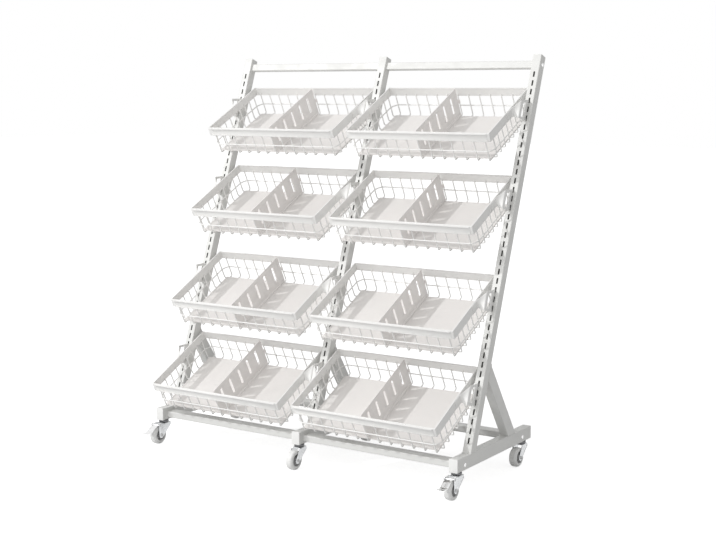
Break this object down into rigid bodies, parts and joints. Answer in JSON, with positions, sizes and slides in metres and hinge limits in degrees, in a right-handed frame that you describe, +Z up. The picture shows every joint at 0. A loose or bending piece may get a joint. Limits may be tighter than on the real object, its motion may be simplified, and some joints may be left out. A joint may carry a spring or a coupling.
{
  "type": "produce display stand",
  "caption": "Leaning slotted-upright stand on castors whose hooked wire baskets tilt forward to show fruit and vegetables, with liners, sliding dividers and price-tag channels.",
  "frame": {"origin": "on the floor, at the middle of the stand's width and depth", "axes": "+X to the right as seen from the front, +Y to the back, +Z up"},
  "size_m": [1.427, 0.7646, 1.579],
  "materials": {
    "frame_paint": "satin white powder coat",
    "basket_paint": "satin white powder coat",
    "liner_paint": "matte warm white powder coat",
    "divider_paint": "satin white powder coat",
    "cap_plastic": "matte",
    "zinc": "zinc plated",
    "wheel_plastic": "matte white tread"
  },
  "bodies": {
    "frame": {"upright_left": "frame_paint", "base_leg_left": "frame_paint", "rear_brace_left": "frame_paint", "upright_middle": "frame_paint", "base_leg_middle": "frame_paint", "rear_brace_middle": "frame_paint", "upright_right": "frame_paint", "base_leg_right": "frame_paint", "rear_brace_right": "frame_paint", "top_rail_left": "frame_paint", "front_rail_left": "frame_paint", "rear_rail_left": "frame_paint", "top_rail_right": "frame_paint", "front_rail_right": "frame_paint", "rear_rail_right": "frame_paint", "tube_end_caps": "cap_plastic", "rail_bolts": "zinc", "castor_stems": "zinc"},
    "castor_fork_front_left": {"castor_fork_front_left": "zinc"},
    "castor_wheel_front_left": {"castor_wheel_front_left": "wheel_plastic"},
    "brake_pedal_left": {"brake_pedal_left": "zinc"},
    "castor_fork_front_middle": {"castor_fork_front_middle": "zinc"},
    "castor_wheel_front_middle": {"castor_wheel_front_middle": "wheel_plastic"},
    "castor_fork_front_right": {"castor_fork_front_right": "zinc"},
    "castor_wheel_front_right": {"castor_wheel_front_right": "wheel_plastic"},
    "brake_pedal_right": {"brake_pedal_right": "zinc"},
    "castor_fork_rear_left": {"castor_fork_rear_left": "zinc"},
    "castor_wheel_rear_left": {"castor_wheel_rear_left": "wheel_plastic"},
    "castor_fork_rear_middle": {"castor_fork_rear_middle": "zinc"},
    "castor_wheel_rear_middle": {"castor_wheel_rear_middle": "wheel_plastic"},
    "castor_fork_rear_right": {"castor_fork_rear_right": "zinc"},
    "castor_wheel_rear_right": {"castor_wheel_rear_right": "wheel_plastic"},
    "basket_left_1": {"basket_left_1": "basket_paint", "liner_left_1": "liner_paint"},
    "divider_left_1": {"divider_left_1": "divider_paint"},
    "basket_left_2": {"basket_left_2": "basket_paint", "liner_left_2": "liner_paint"},
    "divider_left_2": {"divider_left_2": "divider_paint"},
    "basket_left_3": {"basket_left_3": "basket_paint", "liner_left_3": "liner_paint"},
    "divider_left_3": {"divider_left_3": "divider_paint"},
    "basket_left_4": {"basket_left_4": "basket_paint", "liner_left_4": "liner_paint"},
    "divider_left_4": {"divider_left_4": "divider_paint"},
    "basket_right_1": {"basket_right_1": "basket_paint", "liner_right_1": "liner_paint"},
    "divider_right_1": {"divider_right_1": "divider_paint"},
    "basket_right_2": {"basket_right_2": "basket_paint", "liner_right_2": "liner_paint"},
    "divider_right_2": {"divider_right_2": "divider_paint"},
    "basket_right_3": {"basket_right_3": "basket_paint", "liner_right_3": "liner_paint"},
    "divider_right_3": {"divider_right_3": "divider_paint"},
    "basket_right_4": {"basket_right_4": "basket_paint", "liner_right_4": "liner_paint"},
    "divider_right_4": {"divider_right_4": "divider_paint"}
  },
  "joints": [
    {"name": "castor_swivel_front_left", "type": "hinge", "parent": "frame", "child": "castor_fork_front_left", "pos_m": [-0.69, -0.26228, 0.084], "axis": [0, 0, 1], "continuous": true},
    {"name": "wheel_spin_front_left", "type": "hinge", "parent": "castor_fork_front_left", "child": "castor_wheel_front_left", "pos_m": [-0.69, -0.29828, 0.0375], "axis": [1, 0, 0], "continuous": true},
    {"name": "brake_press_left", "type": "hinge", "parent": "castor_fork_front_left", "child": "brake_pedal_left", "pos_m": [-0.69, -0.31019, 0.07903], "axis": [1, 0, 0], "range_deg": [0, 7]},
    {"name": "castor_swivel_front_middle", "type": "hinge", "parent": "frame", "child": "castor_fork_front_middle", "pos_m": [0, -0.26228, 0.084], "axis": [0, 0, 1], "continuous": true},
    {"name": "wheel_spin_front_middle", "type": "hinge", "parent": "castor_fork_front_middle", "child": "castor_wheel_front_middle", "pos_m": [0, -0.29828, 0.0375], "axis": [1, 0, 0], "continuous": true},
    {"name": "castor_swivel_front_right", "type": "hinge", "parent": "frame", "child": "castor_fork_front_right", "pos_m": [0.69, -0.26228, 0.084], "axis": [0, 0, 1], "continuous": true},
    {"name": "wheel_spin_front_right", "type": "hinge", "parent": "castor_fork_front_right", "child": "castor_wheel_front_right", "pos_m": [0.69, -0.29828, 0.0375], "axis": [1, 0, 0], "continuous": true},
    {"name": "brake_press_right", "type": "hinge", "parent": "castor_fork_front_right", "child": "brake_pedal_right", "pos_m": [0.69, -0.31019, 0.07903], "axis": [1, 0, 0], "range_deg": [0, 7]},
    {"name": "castor_swivel_rear_left", "type": "hinge", "parent": "frame", "child": "castor_fork_rear_left", "pos_m": [-0.69, 0.24972, 0.084], "axis": [0, 0, 1], "continuous": true},
    {"name": "wheel_spin_rear_left", "type": "hinge", "parent": "castor_fork_rear_left", "child": "castor_wheel_rear_left", "pos_m": [-0.69, 0.21372, 0.0375], "axis": [1, 0, 0], "continuous": true},
    {"name": "castor_swivel_rear_middle", "type": "hinge", "parent": "frame", "child": "castor_fork_rear_middle", "pos_m": [0, 0.24972, 0.084], "axis": [0, 0, 1], "continuous": true},
    {"name": "wheel_spin_rear_middle", "type": "hinge", "parent": "castor_fork_rear_middle", "child": "castor_wheel_rear_middle", "pos_m": [0, 0.21372, 0.0375], "axis": [1, 0, 0], "continuous": true},
    {"name": "castor_swivel_rear_right", "type": "hinge", "parent": "frame", "child": "castor_fork_rear_right", "pos_m": [0.69, 0.24972, 0.084], "axis": [0, 0, 1], "continuous": true},
    {"name": "wheel_spin_rear_right", "type": "hinge", "parent": "castor_fork_rear_right", "child": "castor_wheel_rear_right", "pos_m": [0.69, 0.21372, 0.0375], "axis": [1, 0, 0], "continuous": true},
    {"name": "basket_lift_left_1", "type": "slide", "parent": "frame", "child": "basket_left_1", "axis": [0, 0.342, 0.9397], "range_m": [0, 0.01]},
    {"name": "divider_slide_left_1", "type": "slide", "parent": "basket_left_1", "child": "divider_left_1", "axis": [1, 0, 0], "range_m": [-0.28, 0.28]},
    {"name": "basket_lift_left_2", "type": "slide", "parent": "frame", "child": "basket_left_2", "axis": [0, 0.342, 0.9397], "range_m": [0, 0.01]},
    {"name": "divider_slide_left_2", "type": "slide", "parent": "basket_left_2", "child": "divider_left_2", "axis": [1, 0, 0], "range_m": [-0.28, 0.28]},
    {"name": "basket_lift_left_3", "type": "slide", "parent": "frame", "child": "basket_left_3", "axis": [0, 0.342, 0.9397], "range_m": [0, 0.01]},
    {"name": "divider_slide_left_3", "type": "slide", "parent": "basket_left_3", "child": "divider_left_3", "axis": [1, 0, 0], "range_m": [-0.28, 0.28]},
    {"name": "basket_lift_left_4", "type": "slide", "parent": "frame", "child": "basket_left_4", "axis": [0, 0.342, 0.9397], "range_m": [0, 0.01]},
    {"name": "divider_slide_left_4", "type": "slide", "parent": "basket_left_4", "child": "divider_left_4", "axis": [1, 0, 0], "range_m": [-0.28, 0.28]},
    {"name": "basket_lift_right_1", "type": "slide", "parent": "frame", "child": "basket_right_1", "axis": [0, 0.342, 0.9397], "range_m": [0, 0.01]},
    {"name": "divider_slide_right_1", "type": "slide", "parent": "basket_right_1", "child": "divider_right_1", "axis": [1, 0, 0], "range_m": [-0.28, 0.28]},
    {"name": "basket_lift_right_2", "type": "slide", "parent": "frame", "child": "basket_right_2", "axis": [0, 0.342, 0.9397], "range_m": [0, 0.01]},
    {"name": "divider_slide_right_2", "type": "slide", "parent": "basket_right_2", "child": "divider_right_2", "axis": [1, 0, 0], "range_m": [-0.28, 0.28]},
    {"name": "basket_lift_right_3", "type": "slide", "parent": "frame", "child": "basket_right_3", "axis": [0, 0.342, 0.9397], "range_m": [0, 0.01]},
    {"name": "divider_slide_right_3", "type": "slide", "parent": "basket_right_3", "child": "divider_right_3", "axis": [1, 0, 0], "range_m": [-0.28, 0.28]},
    {"name": "basket_lift_right_4", "type": "slide", "parent": "frame", "child": "basket_right_4", "axis": [0, 0.342, 0.9397], "range_m": [0, 0.01]},
    {"name": "divider_slide_right_4", "type": "slide", "parent": "basket_right_4", "child": "divider_right_4", "axis": [1, 0, 0], "range_m": [-0.28, 0.28]}
  ]
}
